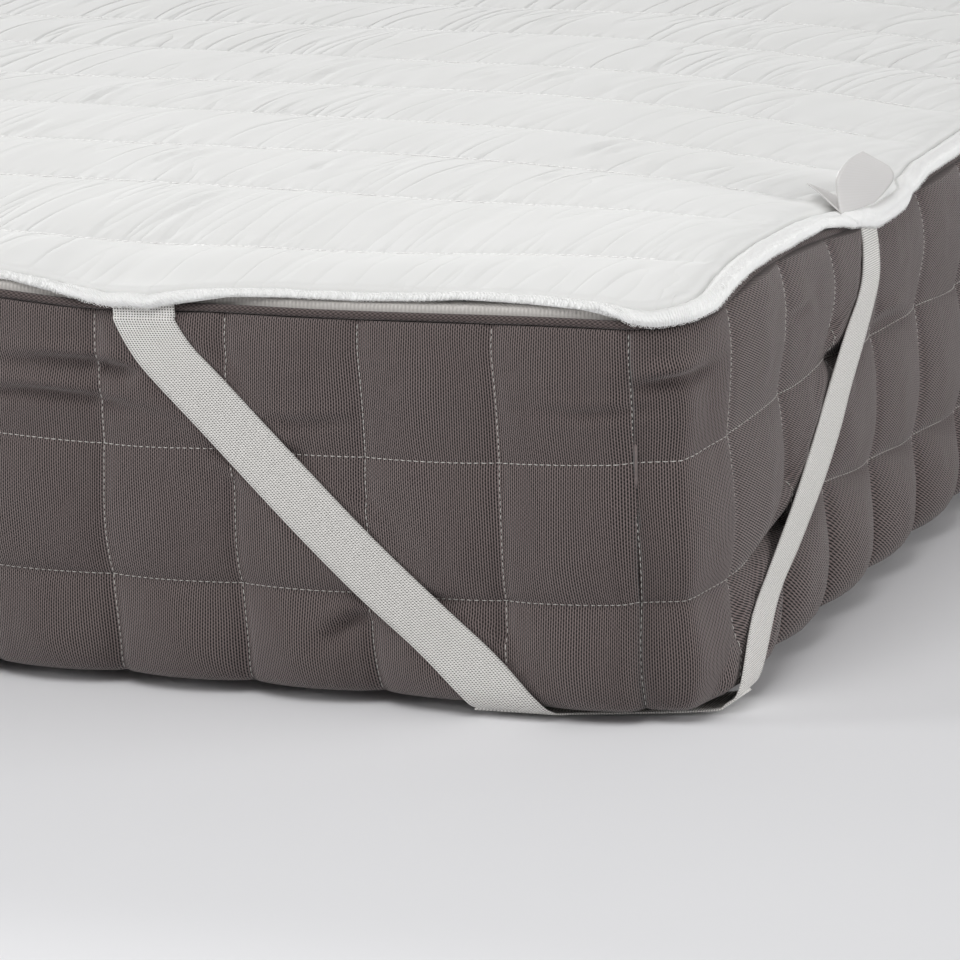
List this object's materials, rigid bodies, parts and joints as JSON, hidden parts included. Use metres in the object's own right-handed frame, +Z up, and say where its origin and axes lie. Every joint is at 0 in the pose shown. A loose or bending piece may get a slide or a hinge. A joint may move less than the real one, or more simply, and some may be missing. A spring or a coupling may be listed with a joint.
{
  "type": "mattress protector on mattress",
  "caption": "Quilted white mattress protector held by elastic corner straps on a plain mattress with a stitched dark border, cord piping and a light-grey top panel.",
  "frame": {"origin": "middle of the mattress's footprint, on the surface it lies on", "axes": "+X across the bed, +Y from the foot end to the head end, +Z up"},
  "size_m": [1.4224, 2.0198, 0.2802],
  "materials": {
    "border_cloth": "dark warm grey knit, stitched in squares",
    "piping_cloth": "dark ribbed cord",
    "panel_cloth": "light-grey knit",
    "quilt_cloth": "white matt cotton, quilted in lines",
    "elastic_tape": "pale woven elastic",
    "label_cloth": "smooth pale grey ribbon"
  },
  "bodies": {
    "root": {"mattress_body": "border_cloth", "top_piping": "piping_cloth", "top_panel": "panel_cloth", "protector": "quilt_cloth", "strap_foot_right": "elastic_tape", "strap_foot_left": "elastic_tape", "strap_head_right": "elastic_tape", "strap_head_left": "elastic_tape", "label_main": "label_cloth", "label_care": "label_cloth"}
  },
  "joints": []
}
